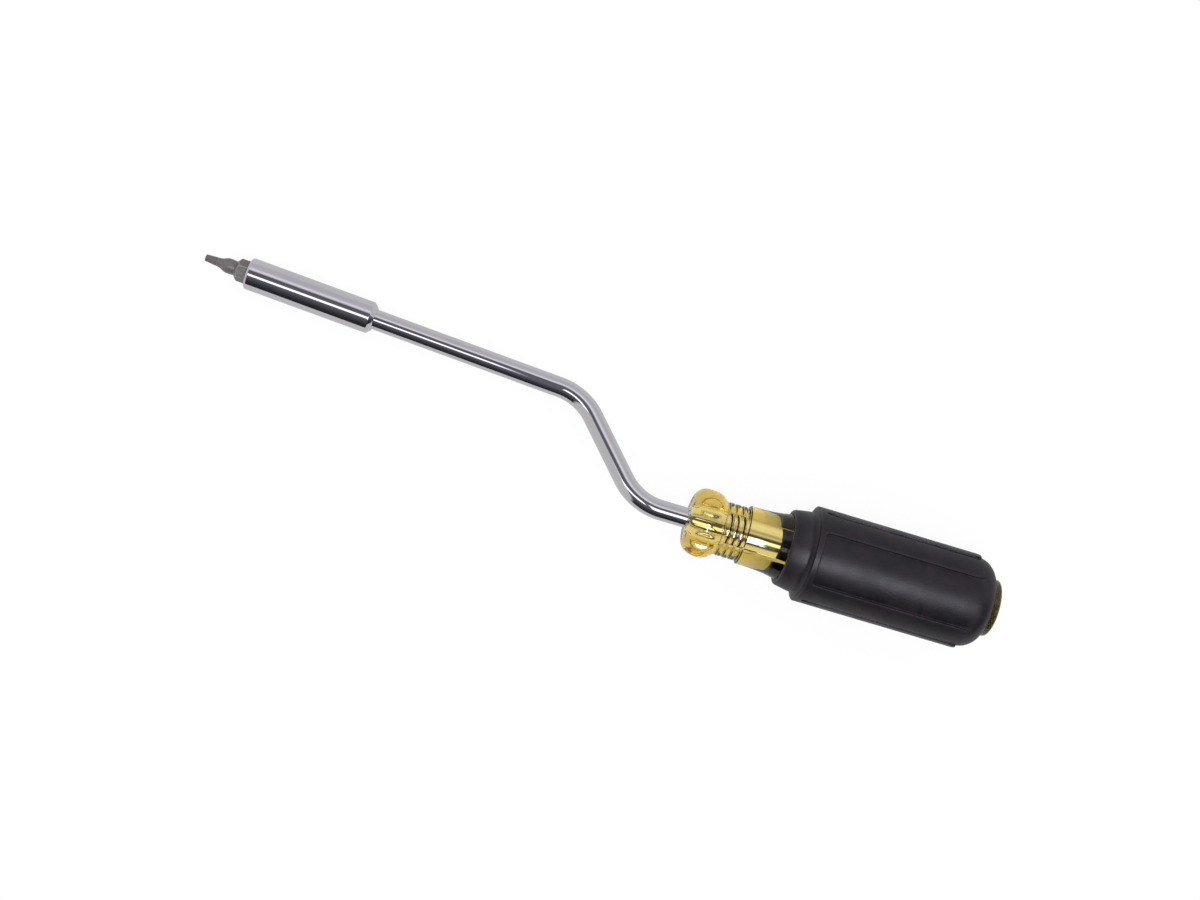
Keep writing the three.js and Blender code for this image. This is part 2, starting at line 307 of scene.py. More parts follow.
def bump(tree, shader, height, strength, depth):
    node = add_node(tree, "ShaderNodeBump", Height=height, Strength=strength, Distance=depth)
    tree.links.new(node.outputs["Normal"], shader.inputs["Normal"])


print("Node helpers are ready")

# %% [markdown]
# Three effects come back on several finishes. Grain is the fine unevenness of a surface, patches are the
# slow changes left by hands and by the mould, and rubbed edges show where a finish has worn. Each is
# built once as a node group with named inputs, and only puts out masks.

# %% Shared effects: grain, patches and rubbed edges
def new_effect(name, inputs, outputs):
    group = bpy.data.node_groups.new(name, "ShaderNodeTree")
    for socket, value in inputs.items():
        made = group.interface.new_socket(socket, in_out="INPUT", socket_type="NodeSocketFloat")
        made.default_value = value
    for socket in outputs:
        group.interface.new_socket(socket, in_out="OUTPUT", socket_type="NodeSocketFloat")
    start = group.nodes.new("NodeGroupInput")
    end = group.nodes.new("NodeGroupOutput")
    place_on_piece = group.nodes.new("ShaderNodeTexCoord").outputs["Object"]
    return group, start.outputs, end.inputs, place_on_piece


grain, grain_in, grain_out, spot = new_effect("fine_grain", {"Scale": 2000, "Detail": 3}, ["Height"])
grain_noise = add_node(
    grain, "ShaderNodeTexNoise", Vector=spot, Scale=grain_in["Scale"], Detail=grain_in["Detail"],
)
grain.links.new(grain_noise.outputs["Fac"], grain_out["Height"])

patches, patches_in, patches_out, spot = new_effect("patches", {"Scale": 60, "Contrast": 2}, ["Mask"])
patch_noise = add_node(
    patches, "ShaderNodeTexNoise", Vector=spot, Scale=patches_in["Scale"], Detail=4, Distortion=0.8,
)
centred = add_node(patches, "ShaderNodeMath", {"operation": "SUBTRACT"})
patches.links.new(patch_noise.outputs["Fac"], centred.inputs[0])
centred.inputs[1].default_value = 0.5
spread = add_node(patches, "ShaderNodeMath", {"operation": "MULTIPLY_ADD", "use_clamp": True})
patches.links.new(centred.outputs[0], spread.inputs[0])
patches.links.new(patches_in["Contrast"], spread.inputs[1])
spread.inputs[2].default_value = 0.5
patches.links.new(spread.outputs[0], patches_out["Mask"])

rubbed, rubbed_in, rubbed_out, spot = new_effect("rubbed_edges", {"Scale": 900}, ["Mask"])
edge = add_node(rubbed, "ShaderNodeAttribute", {"attribute_name": "edge"}).outputs["Fac"]
chips = add_node(rubbed, "ShaderNodeTexNoise", Vector=spot, Scale=rubbed_in["Scale"], Detail=2)
worn = add_node(rubbed, "ShaderNodeMath", {"operation": "MULTIPLY", "use_clamp": True})
rubbed.links.new(edge, worn.inputs[0])
rubbed.links.new(between(rubbed, chips.outputs["Fac"], 0.2, 1.4), worn.inputs[1])
rubbed.links.new(worn.outputs[0], rubbed_out["Mask"])


def effect(tree, group, **inputs):
    """Places a shared effect in a finish, and returns its first output."""
    node = tree.nodes.new("ShaderNodeGroup")
    node.node_tree = group
    for name, value in inputs.items():
        node.inputs[name].default_value = value
    return node.outputs[0]


print("Effects:", [group.name for group in (grain, patches, rubbed)])

# %% [markdown]
# The bar and the holder are chrome on polished steel: a slightly violet grey mirror. The plating is never
# quite even: fingers leave duller patches on it, and the polish leaves a faint ripple.

# %% Chrome finish
chrome, tree, shader = new_finish("chrome_plate")
fingers = effect(tree, patches, Scale=140, Contrast=1.6)
set_inputs(
    tree, shader, Metallic=1.0,
    Base_Color=two_colours(tree, fingers, (0.80, 0.785, 0.815), (0.74, 0.725, 0.755)),
    Roughness=between(tree, fingers, 0.02, 0.06),
)
bump(tree, shader, effect(tree, grain, Scale=300, Detail=2), strength=0.02, depth=0.0001)
print(chrome.name)

# %% [markdown]
# Insert bits are hardened and then phosphated: a dark, satin, slightly warm grey. The finish is mottled
# and rubs off on the edges that have been in a screw, where the steel shows.

# %% Bit steel finish
bit_steel, tree, shader = new_finish("phosphated_steel")
mottle = effect(tree, patches, Scale=900, Contrast=2.5)
wear = effect(tree, rubbed, Scale=1500)
ground = two_colours(tree, mottle, (0.14, 0.125, 0.128), (0.187, 0.168, 0.172))
set_inputs(
    tree, shader, Metallic=0.55, Base_Color=mix_colours(tree, wear, ground, (0.34, 0.32, 0.315)),
    Roughness=between(tree, mottle, 0.3, 0.42),
)
bump(tree, shader, effect(tree, grain, Scale=6000, Detail=4), strength=0.25, depth=0.0001)
print(bit_steel.name)

# %% [markdown]
# The retaining ring is bright spring wire and the magnet is nickel plated. Both sit inside the socket
# and show only when the bit is pulled out, but they get their own steel all the same.

# %% Spring and magnet finishes
def plain_steel(name, dark, light, dull):
    material, tree, shader = new_finish(name)
    drawn = effect(tree, patches, Scale=700, Contrast=2.0)
    set_inputs(
        tree, shader, Metallic=1.0, Base_Color=two_colours(tree, drawn, dark, light),
        Roughness=between(tree, drawn, dull, dull * 1.6),
    )
    bump(tree, shader, effect(tree, grain, Scale=5000, Detail=3), strength=0.1, depth=0.0001)
    return material


spring_steel = plain_steel("spring_wire", dark=(0.4, 0.4, 0.41), light=(0.5, 0.5, 0.51), dull=0.22)
nickel = plain_steel("nickel_plate", dark=(0.58, 0.57, 0.55), light=(0.66, 0.65, 0.63), dull=0.16)
print(spring_steel.name, nickel.name)

# %% [markdown]
# The handle is cast in a clear amber plastic. It is made as one solid body of glass-like material, with
# the colour in the volume, so thick parts come out deep and thin parts pale, as in life. The steel bar
# inside is seen magnified by the round handle, which nothing but real refraction gives. The short tail
# behind the grip looks dark on the real tool, since little light comes into it past the rubber, so shade
# is painted on its surface there as a darker colour, all but the rim.

# %% Amber plastic finish
# Where the painted shade on the tail begins and becomes full, in mm before the butt; the rim behind it stays
# clear.
painted_shade_start = 3.2
painted_shade_full = 2.6
rim_start = 0.6
rim_clear = 0.2

amber, tree, shader = new_finish("amber_plastic")
flow = effect(tree, patches, Scale=90, Contrast=1.5)
along = add_node(
    tree, "ShaderNodeSeparateXYZ", Vector=add_node(tree, "ShaderNodeTexCoord").outputs["Object"],
).outputs["X"]
behind_grip = add_node(
    tree, "ShaderNodeMapRange", Value=along,
    From_Min=butt.x - painted_shade_start * MM, From_Max=butt.x - painted_shade_full * MM,
)
before_rim = add_node(
    tree, "ShaderNodeMapRange", Value=along,
    From_Min=butt.x - rim_clear * MM, From_Max=butt.x - rim_start * MM,
)
# Painted shade: a mask for the tail behind the grip, where the plastic is given a dark colour, all but its rim.
tail_painted_shade = times(tree, behind_grip.outputs["Result"], before_rim.outputs["Result"])
clear = two_colours(tree, flow, (1.0, 0.955, 0.7), (1.0, 0.935, 0.62))
# The dark colour mixed in at the tail is painted shade, not the plastic's own colour.
set_inputs(
    tree, shader, Transmission_Weight=1.0, IOR=1.5,
    Base_Color=mix_colours(tree, tail_painted_shade, clear, (0.09, 0.086, 0.08)),
    Roughness=between(tree, flow, 0.015, 0.05),
)
bump(tree, shader, effect(tree, grain, Scale=260, Detail=1), strength=0.03, depth=0.0004)
tint = add_node(tree, "ShaderNodeVolumeAbsorption", Color=(0.976, 0.823, 0.024, 1), Density=74.0)
tree.links.new(tint.outputs["Volume"], tree.nodes["Material Output"].inputs["Volume"])
print(amber.name)

# %% [markdown]
# The grip is black rubber with a satin bloom. Rubber is dark but never pure black: it has a fine even
# grain from the mould, a warm dust lies on it in patches, and wear turns its raised edges a little paler.

# %% Rubber finish
rubber, tree, shader = new_finish("satin_rubber")
bloom = effect(tree, patches, Scale=110, Contrast=1.8)
dust = effect(tree, patches, Scale=190, Contrast=3.2)
wear = effect(tree, rubbed, Scale=700)
ground = two_colours(tree, dust, (0.0014, 0.0018, 0.0028), (0.0085, 0.0048, 0.0066))
set_inputs(
    tree, shader, Base_Color=mix_colours(tree, wear, ground, (0.018, 0.016, 0.02)),
    Roughness=between(tree, bloom, 0.34, 0.48),
    Specular_IOR_Level=0.43, Specular_Tint=(0.9, 0.87, 1.0, 1),
)
bump(tree, shader, effect(tree, grain, Scale=2600, Detail=4), strength=0.22, depth=0.0002)
print(rubber.name)

# %% [markdown]
# The clear handle starts with a bolster whose six flutes keep the fingers from slipping round. Four ring
# grooves and a neck follow, and then the body that the rubber is pushed over, down to the round tail. It
# is one turned body with the bar's bore in it. The bar looks a little thicker where the plastic holds it,
# so the bore widens there, and it is a hair tighter than the bar, so no air shows between steel and
# plastic.

# %% The clear handle
bar_radius = 3.175
held_radius = 3.65
held_start = 0.8
tight_fit = 0.05
bar_in_handle = 58
bolster_length = 10.3
bolster_radius = 11.1
bolster_front = 6.6
front_rounding = 0.3
bolster_points = 16
ridge_radius = 8.5
first_groove = 11.0
groove_pitch = 2.1
groove_width = 0.8
groove_depth = 0.6
groove_rounding = 0.15
groove_count = 4
neck_radius = 9.25
neck_points = 14
neck_start = first_groove + (groove_count - 1) * groove_pitch + groove_width
collar_start = 31.2
collar_seat = 32
collar_seat_radius = 10.5
panel_start = 38
body_radius = 11.3
band_end = 91.2
rear_fillet = 6
tail_radius = 9.1
tail_rounding = 0.5

bore = bar_radius - tight_fit
held_bore = held_radius - tight_fit
handle_profile = outline(
    (bar_in_handle, 0), (bar_in_handle, held_bore), (held_start, held_bore), (held_start, bore),
    (0, bore), (0, bolster_front, front_rounding),
)

bolster_top = (bolster_length / 2, bolster_radius)
front_shoulder = (0.05, bolster_front + front_rounding)
front_pulls = (0.1, 9.0), (bolster_length / 4, bolster_radius)
rear_pulls = (0.75 * bolster_length, bolster_radius), (0.9 * bolster_length, 9.6)
handle_profile += bezier(front_shoulder, *front_pulls, bolster_top, bolster_points)
handle_profile += bezier(bolster_top, *rear_pulls, (bolster_length, ridge_radius), bolster_points)[1:]

for i in range(groove_count):
    centre = first_groove + i * groove_pitch
    handle_profile += outline(
        (centre - groove_width, ridge_radius), (centre - groove_width / 2, ridge_radius, groove_rounding),
        (centre, ridge_radius - groove_depth, groove_rounding),
        (centre + groove_width / 2, ridge_radius, groove_rounding), (centre + groove_width, ridge_radius),
    )[1:-1]

collar_mouth = (collar_start, collar_seat_radius)
neck_pulls = (23, neck_radius), (27.2, 9.46)
handle_profile += bezier((neck_start, neck_radius), *neck_pulls, collar_mouth, neck_points)
handle_profile += outline(
    collar_mouth, (collar_seat, collar_seat_radius), (panel_start, body_radius),
    (band_end - rear_fillet, body_radius), (band_end, tail_radius),
    (handle_length, tail_radius, tail_rounding), (handle_length, 0),
)[1:]

handle_columns = 144
flute_count = 6
first_flute = 30
flute_radius = 5
flute_depth = 1.45
flute_softness = 0.3
flute_distance = bolster_radius - flute_depth + flute_radius
handle_body = lathe(handle_profile, handle_columns)
for vert in handle_body.verts:
    if 0 <= vert.co.x <= bolster_length and radius_of(vert) > ridge_radius:
        cut = channel(angle_of(vert.co), flute_count, first_flute, flute_distance, flute_radius)
        if cut:
            set_radius(vert, soft_min(radius_of(vert), cut, flute_softness))
handle_piece = finish_piece(
    handle_body, "clear_handle", "handle_core", "driver", handle_place, amber,
)

# %% [markdown]
# The rubber sleeve has a tapered collar, a crease, a raised rim and raised bands along its sides, with
# smooth panels between them. Its profile is spun in sectors, so that columns of faces fall exactly on the
# borders of the panels and grooves. The raised faces are then lifted by one inset with a draft, the way a
# moulded part leaves its mould, the edges are rounded by a bevel, and subdivision smooths the whole.

# %% The cushion grip
grip_end = 97.2
panel_radius = 14.4
rise = 0.8
draft = 0.12
edge_rounding = 0.09
collar_bore = 10.3
collar_lip = 12.0
collar_rounding = 0.75
collar_end = (36.7, 13.0)
crease = (37.0, 12.8)
rim_foot = (37.3, 12.95)
rim_shoulder = (38.0, 14.2)
rim_front = 38.3
rim_back = 40.2
row_count = 10
dome_points = 8
hole_radius = 9.2
hole_depth = 0.6
grip_overlap = 0.1
close_match = 0.01
# The borders of panels and grooves are degrees from the top of the grip.
panel_half = 33
groove_borders = [63.5, 70.5, 109.5, 116.5]
sector_steps = [12, 6, 2, 8, 2, 6, 12, 6, 2, 8, 2, 6]

borders = [-panel_half, panel_half, *groove_borders, 180 - panel_half, 180 + panel_half]
borders += [360 - border for border in reversed(groove_borders)] + [360 - panel_half]
body_rows = [rim_back + (band_end - rim_back) * i / row_count for i in range(row_count + 1)]
grip_profile = outline(
    (collar_start, collar_bore), (collar_start, collar_lip, collar_rounding),
    collar_end, crease, rim_foot, rim_shoulder,
)
grip_profile += [(rim_front, panel_radius), ((rim_front + rim_back) / 2, panel_radius)]
grip_profile += [(x, panel_radius) for x in body_rows]

dome_start = grip_end - rear_fillet
dome_pulls = (dome_start + 3.4, panel_radius), (grip_end - 0.1, 11.6)
dome_end = (grip_end, 9.6)
grip_profile += bezier((dome_start, panel_radius), *dome_pulls, dome_end, dome_points)[1:]

tail_bore = tail_radius - grip_overlap
body_bore = body_radius - grip_overlap
grip_profile += outline(
    (grip_end, hole_radius), (grip_end - hole_depth, tail_bore), (band_end, tail_bore),
    (band_end - rear_fillet, body_bore), (panel_start, body_bore),
    (collar_seat, collar_seat_radius - grip_overlap),
)

grip = bmesh.new()
section = profile_edges(grip, grip_profile, borders[0], closed=True)
for start, end, steps in zip(borders, borders[1:], sector_steps):
    section = turn_round(grip, section, end - start, steps)
close_up(grip)


def is_raised(face):
    middle = face.calc_center_median()
    if not rim_front < middle.x < band_end or radius_of(face.verts[0]) < panel_radius - close_match:
        return False
    if middle.x < rim_back:
        return True
    lean = abs(angle_of(middle))
    bands = [(panel_half, groove_borders[0]), groove_borders[1:3], (groove_borders[3], 180 - panel_half)]
    return any(low < lean < high for low, high in bands)


def border_edges(faces):
    """The edges that have just one of these faces beside them."""
    chosen = set(faces)
    edges = dict.fromkeys(edge for face in faces for edge in face.edges)
    return [edge for edge in edges if len(chosen.intersection(edge.link_faces)) == 1]


raised = [face for face in grip.faces if is_raised(face)]
lifted = bmesh.ops.inset_region(grip, faces=raised, thickness=draft, depth=rise, use_even_offset=True)
step_edges = border_edges(raised) + border_edges(raised + lifted["faces"])
bmesh.ops.bevel(
    grip, geom=step_edges, offset=edge_rounding, segments=2, profile=0.5, affect="EDGES", material=-1,
    clamp_overlap=True,
)
grip_piece = finish_piece(
    grip, "cushion_sleeve", "cushion_grip", "driver", handle_place, rubber,
    smooth_levels=1,
)

# %% [markdown]
# The shank is one round bar with two bends. A ring of edges is pushed along each straight stretch and
# spun round the centre of each bend, which is just what a bar bender does. Where the plastic holds the
# bar it steps up to a thicker stretch, and near its end two wings are pinched out, so the bar can't turn.

# %% The cranked bar
bend_radius = 18
leg_length = 37.5
leg_angle = 49
front_splay = 3.5
front_run = 68.4
bar_in_holder = 18
bar_columns = 48
bend_steps = 24
wing_reach = 5.5
wing_half_thickness = 0.9
wing_length = 9
behind_wings = 4
bar_rear = rear_run + bar_in_handle
wing_end = bar_rear - behind_wings
wing_start = wing_end - wing_length


def heading(degrees):
    """A direction in the crank's plane, turned by an angle from +X towards -Y."""
    return Vector((math.cos(math.radians(degrees)), -math.sin(math.radians(degrees)), 0))


front_corner = heading(leg_angle) * -leg_length
front_end = front_corner - heading(front_splay) * (front_run + bar_in_holder)


def setback(degrees):
    """How far before a corner a bend starts."""
    return bend_radius * math.tan(math.radians(degrees) / 2)


bar = bmesh.new()
ring = bmesh.ops.create_circle(bar, segments=bar_columns, radius=bar_radius)["verts"]
upright = Matrix.Rotation(math.radians(-front_splay), 4, "Z") @ Matrix.Rotation(math.radians(90), 4, "Y")
bmesh.ops.transform(bar, matrix=Matrix.Translation(front_end) @ upright, verts=ring)
bar_end = list(bar.edges)


def ends_of(edges):
    """The vertices of these edges, each of them once."""
    return list(dict.fromkeys(vert for edge in edges for vert in edge.verts))


def push(edges, shift):
    """Extrudes the open end of the bar along a straight stretch."""
    made = bmesh.ops.extrude_edge_only(bar, edges=edges)["geom"]
    moved = [item for item in made if isinstance(item, bmesh.types.BMVert)]
    bmesh.ops.translate(bar, vec=shift, verts=moved)
    return [item for item in made if isinstance(item, bmesh.types.BMEdge)
            and all(vert in moved for vert in item.verts)]


def bend(edges, centre, degrees):
    """Spins the open end of the bar round the centre of a bend."""
    spun = bmesh.ops.spin(
        bar, geom=edges + ends_of(edges), cent=centre, axis=(0, 0, 1), angle=math.radians(degrees),
        steps=bend_steps,
    )
    return [item for item in spun["geom_last"] if isinstance(item, bmesh.types.BMEdge)]


def side_of(degrees):
    """The direction square to a heading, to its left."""
    return heading(degrees - 90)


first_turn = leg_angle - front_splay
first_start = front_corner - heading(front_splay) * setback(first_turn)
first_centre = first_start - side_of(front_splay) * bend_radius
second_start = -heading(leg_angle) * setback(leg_angle)
second_centre = second_start + side_of(leg_angle) * bend_radius
bar_end = push(bar_end, first_start - front_end)
bar_end = bend(bar_end, first_centre, -first_turn)
bar_end = push(bar_end, heading(leg_angle) * (leg_length - setback(first_turn) - setback(leg_angle)))
bar_end = bend(bar_end, second_centre, leg_angle)
bar_end = push(bar_end, Vector((rear_run + held_start - setback(leg_angle), 0, 0)))
# A ring that is pushed nowhere and then scaled up makes the step to the thicker stretch.
bar_end = push(bar_end, Vector((0, 0, 0)))
thicker = held_radius / bar_radius
bmesh.ops.scale(bar, vec=(1, thicker, thicker), verts=ends_of(bar_end))
bar_end = push(bar_end, Vector((wing_start - rear_run - held_start, 0, 0)))
bar_end = push(bar_end, Vector((wing_length, 0, 0)))
bar_end = push(bar_end, Vector((behind_wings, 0, 0)))
bmesh.ops.holes_fill(bar, edges=[edge for edge in bar.edges if edge.is_boundary], sides=0)
close_up(bar)

for side in (1, -1):
    flank = [face for face in bar.faces
             if wing_start < face.calc_center_median().x < wing_end
             and face.calc_center_median().y * side > 0
             and abs(face.calc_center_median().z) < wing_half_thickness]
    made = bmesh.ops.extrude_face_region(bar, geom=flank)["geom"]
    tips = [item for item in made if isinstance(item, bmesh.types.BMVert)]
    bmesh.ops.translate(bar, vec=(0, side * (wing_reach - held_radius), 0), verts=tips)
bmesh.ops.recalc_face_normals(bar, faces=bar.faces)
finish_piece(bar, "cranked_bar", "crank_shank", "driver", crank_place, chrome)

# %% [markdown]
# The holder is a turned sleeve: a hex socket in front, with a groove for the spring ring and a pocket
# for the magnet, and a bore for the bar behind. One profile runs from the bottom of the pocket out round
# the mouth and back to the bottom of the bore. After spinning, the rows of the socket are moved in to the
# hexagon's flats, with columns on its corners.

# %% The bit holder
hex_across = 6.35
slide_clearance = 0.15
hex_roll = 3
bit_length = 25.4
holder_radius = 5
holder_length = 41.1
magnet_gap = 0.15
magnet_length = 5
magnet_face = bit_length - bit_exposed + magnet_gap
magnet_back = magnet_face + magnet_length
socket_across = hex_across + 2 * slide_clearance
socket_corner = flat_sided(hex_roll, 6, socket_across, hex_roll)
mouth_depth = 0.45
mouth_bevel = 0.3
front_bevel = 0.5
pocket_radius = 3.1
groove_radius = 4.47
ring_depth = 4.5
ring_half = 0.4
bar_front = holder_length - bar_in_holder
rear_bevel_length = 1.5
rear_bevel_start = holder_length - rear_bevel_length
rear_bevel_radius = 3.6
mouth_rounding = 0.1
lip_rounding = 0.15
front_shoulder_rounding = 0.3
rear_shoulder_rounding = 0.25
rear_lip_rounding = 0.2

holder_profile = outline(
    (magnet_back, 0), (magnet_back, pocket_radius), (magnet_face, pocket_radius),
    (magnet_face, socket_corner), (ring_depth + ring_half, socket_corner),
    (ring_depth + ring_half, groove_radius), (ring_depth - ring_half, groove_radius),
    (ring_depth - ring_half, socket_corner), (mouth_depth, socket_corner),
    (0, socket_corner + mouth_bevel, mouth_rounding), (0, holder_radius - front_bevel, lip_rounding),
    (front_bevel, holder_radius, front_shoulder_rounding),
    (rear_bevel_start, holder_radius, rear_shoulder_rounding),
    (holder_length, rear_bevel_radius, rear_lip_rounding),
    (holder_length, bore), (bar_front, bore), (bar_front, 0),
)
holder_columns = 96
holder = lathe(holder_profile, holder_columns, hex_roll)
for vert in holder.verts:
    in_socket = mouth_depth / 2 < vert.co.x <= magnet_face
    if in_socket and abs(radius_of(vert) - socket_corner) < close_match:
        set_radius(vert, flat_sided(angle_of(vert.co), 6, socket_across, hex_roll))
finish_piece(holder, "bit_sleeve", "bit_holder", "driver", holder_place, chrome)

# %% [markdown]
# Inside the socket sit an open ring of spring wire, which grips the bit's hexagon, and a round magnet,
# which holds its tail. The ring is a small circle spun through most of a turn and closed at both ends.
# The magnet is a short disc with rounded rims.

# %% The retaining ring and the magnet
wire_radius = 0.25
wire_columns = 12
ring_opening = 40
ring_steps = 60
hex_corner = flat_sided(hex_roll, 6, hex_across, hex_roll)
ring_radius = hex_corner + slide_clearance + wire_radius

wire = bmesh.new()
loop = bmesh.ops.create_circle(wire, segments=wire_columns, radius=wire_radius)["verts"]
bmesh.ops.rotate(wire, verts=loop, matrix=Matrix.Rotation(math.radians(90), 3, "X"))
bmesh.ops.translate(wire, vec=(ring_depth, 0, ring_radius), verts=loop)
to_opening = Matrix.Rotation(math.radians(180 - ring_opening / 2), 3, "X")
bmesh.ops.rotate(wire, verts=loop, cent=(0, 0, 0), matrix=to_opening)
turn_round(wire, list(wire.verts) + list(wire.edges), 360 - ring_opening, ring_steps)
bmesh.ops.holes_fill(wire, edges=[edge for edge in wire.edges if edge.is_boundary], sides=0)
close_up(wire)
finish_piece(
    wire, "spring_ring", "retaining_ring", "driver", holder_place, spring_steel,
)

magnet_radius = 3.0
magnet_rounding = 0.3
magnet_columns = 48
magnet_profile = outline(
    (magnet_face, 0), (magnet_face, magnet_radius, magnet_rounding),
    (magnet_back, magnet_radius, magnet_rounding), (magnet_back, 0),
)
magnet = lathe(magnet_profile, magnet_columns)
finish_piece(magnet, "holding_magnet", "socket_magnet", "driver", holder_place, nickel)

# %% [markdown]
# The bit runs from a small square tip through a turned bulge and neck to a hexagon. It is spun as a
# plain rod with many rows, and each row gets its radius from the forms that meet there: the square and
# the bulge are joined by a soft maximum, and the lathe's cone cuts the hexagon's corners by a soft minimum.

# %% The square bit
hex_start = 9.6
hex_ramp = 1.2
tail_bevel = 0.6
tip_across = 1.5
tip_root_across = 2.3
tip_length = 3.8
tip_corner = 73
bulge_radius = 2.35
bulge_start = 7.3
waist_radius = 2.225
neck_blend = 0.35
hex_blend = 0.12
rod_radius = 1
bit_rows = 160
bit_columns = 144


def flare(distance):
    """How far the turned neck has opened from the tip to the bulge, from 0 to 1."""
    t = min(max((distance - tip_length) / (bulge_start - tip_length), 0), 1)
    return t * t * (3 - 2 * t)


def neck_at(distance):
    opened = tip_root_across / 2 + (bulge_radius - tip_root_across / 2) * flare(distance)
    closing = (distance - hex_start + hex_ramp) / hex_ramp
    return opened - (bulge_radius - waist_radius) * min(max(closing, 0), 1)


def bit_radius(distance, degrees):
    if distance < hex_start:
        across = tip_across + (tip_root_across - tip_across) * min(distance / bulge_start, 1)
        square = flat_sided(degrees, 4, across, tip_corner)
        if distance < tip_length:
            return square
        return soft_max(square, neck_at(distance), neck_blend)
    cone = waist_radius + (hex_corner - waist_radius) * min((distance - hex_start) / hex_ramp, 1)
    tail = hex_corner - max(distance - bit_length + tail_bevel, 0)
    return soft_min(flat_sided(degrees, 6, hex_across, hex_roll), min(cone, tail), hex_blend)


rod = [(bit_length * i / bit_rows, rod_radius) for i in range(bit_rows + 1)]
bit = lathe([(0, 0), *rod, (bit_length, 0)], bit_columns, hex_roll)
for vert in bit.verts:
    if radius_of(vert) > rod_radius / 2:
        set_radius(vert, bit_radius(vert.co.x, angle_of(vert.co)))
bmesh.ops.translate(bit, vec=(-bit_exposed, 0, 0), verts=bit.verts)
bit_piece = finish_piece(
    bit, "square_tip_bit", "square_bit", "bit", holder_place, bit_steel,
)

# %% [markdown]
# The tool lies on a plain white table. To the camera the table is almost pure white, as in a catalogue,
# but part of it stays an ordinary lit surface, so that the tool keeps a soft shadow. Mirrors see a pale
# grey table instead, and the clear handle sees the lit surface, lifted a little.

# %% The table
table_half = 2.0
camera_white = 0.93
mirror_level = 0.59
glass_lift = 0.08

bpy.context.scene.view_settings.view_transform = "Standard"

table_mesh = bpy.data.meshes.new("table")
top = bmesh.new()
bmesh.ops.create_grid(top, x_segments=2, y_segments=2, size=table_half)
top.to_mesh(table_mesh)
top.free()
table = bpy.data.objects.new("table", table_mesh)
bpy.context.scene.collection.objects.link(table)

paper, tree, shader = new_finish("white_table")
set_inputs(tree, shader, Base_Color=(0.93, 0.93, 0.935, 1), Roughness=0.9)
path = add_node(tree, "ShaderNodeLightPath")


def glow(level):
    shine = add_node(tree, "ShaderNodeEmission", Color=(level, level, level, 1), Strength=1.0)
    return shine.outputs["Emission"]


def mix_shaders(amount, first, second):
    node = add_node(tree, "ShaderNodeMixShader")
    for socket, link in zip(node.inputs, (amount, first, second)):
        tree.links.new(link, socket)
    return node.outputs["Shader"]


in_mirror = path.outputs["Is Glossy Ray"]
in_glass = path.outputs["Is Transmission Ray"]
in_camera = path.outputs["Is Camera Ray"]
lit = shader.outputs["BSDF"]
shown = mix_shaders(in_mirror, lit, glow(mirror_level))
lifted_a_little = mix_shaders(between(tree, in_glass, 0, glass_lift), lit, glow(1))
shown = mix_shaders(in_glass, shown, lifted_a_little)
almost_white = mix_shaders(between(tree, in_camera, 0, camera_white), lit, glow(1))
shown = mix_shaders(in_camera, shown, almost_white)
tree.links.new(shown, tree.nodes["Material Output"].inputs["Surface"])
table_mesh.materials.append(paper)
print("Table of", tuple(round(side, 2) for side in table.dimensions), "m")

# %% [markdown]
# Chrome shows only what stands round it, so the studio is drawn into the world: a light tent with a pale
# wall behind the tool, a bright strip above that wall, a dark front, and a pale side wall at the far left.
# The tent is a colour ramp over the angle round the tool's length. Mirrors see it, and so does the clear
# handle where it looks up, while low down the handle sees white. All other light from the world has one
# plain level, and the camera sees white.

# %% The light tent
tent_stops = [
    (-80, 0.02), (-67, 0.026), (-51, 0.05), (-36, 0.085), (-24, 0.12), (2, 0.14), (20, 0.1), (25, 0.4),
    (32, 0.86), (38, 0.8), (48, 0.54), (75, 0.5), (89, 0.58),
]
tent_span = 90
tent_tint = (1.0, 0.985, 1.05)
dark_tint = (1.0, 0.99, 1.2)
dark_below = 0.2
plain_level = 1.1
side_wall = 0.57
side_wall_start = -0.46
side_wall_full = -0.54
overhead_start = 0.32
overhead_full = 0.55

world = bpy.data.worlds.new("light_tent")
bpy.context.scene.world = world
world.use_nodes = True
tree = world.node_tree
direction = add_node(
    tree, "ShaderNodeSeparateXYZ", Vector=add_node(tree, "ShaderNodeTexCoord").outputs["Generated"],
)
lean = add_node(tree, "ShaderNodeMath", {"operation": "ARCTAN2"})
tree.links.new(direction.outputs["Y"], lean.inputs[0])
tree.links.new(direction.outputs["Z"], lean.inputs[1])
tent_edge = math.radians(tent_span)
along_ramp = add_node(
    tree, "ShaderNodeMapRange", Value=lean.outputs[0], From_Min=-tent_edge, From_Max=tent_edge,
)

tent = add_node(tree, "ShaderNodeValToRGB", Fac=along_ramp.outputs["Result"])
stops = tent.color_ramp.elements
for degrees, level in tent_stops:
    stop = stops.new((degrees + tent_span) / (2 * tent_span))
    tint = dark_tint if level < dark_below else tent_tint
    stop.color = (*(level * part for part in tint), 1)
stops.remove(stops[0])
stops.remove(stops[-1])


def grey(level):
    return (level, level, level)


far_left = add_node(
    tree, "ShaderNodeMapRange", Value=direction.outputs["X"],
    From_Min=side_wall_start, From_Max=side_wall_full,
)
walls = mix_colours(tree, far_left.outputs["Result"], tent.outputs["Color"], grey(side_wall))

path = add_node(tree, "ShaderNodeLightPath")
overhead = add_node(
    tree, "ShaderNodeMapRange", Value=direction.outputs["Z"],
    From_Min=overhead_start, From_Max=overhead_full,
)
through_glass = mix_colours(tree, overhead.outputs["Result"], grey(1), walls)
light = mix_colours(tree, path.outputs["Is Glossy Ray"], grey(plain_level), walls)
light = mix_colours(tree, path.outputs["Is Transmission Ray"], light, through_glass)
light = mix_colours(tree, path.outputs["Is Camera Ray"], light, grey(1))
tree.links.new(light, tree.nodes["Background"].inputs["Color"])
print("Tent of", len(tent_stops), "stops")

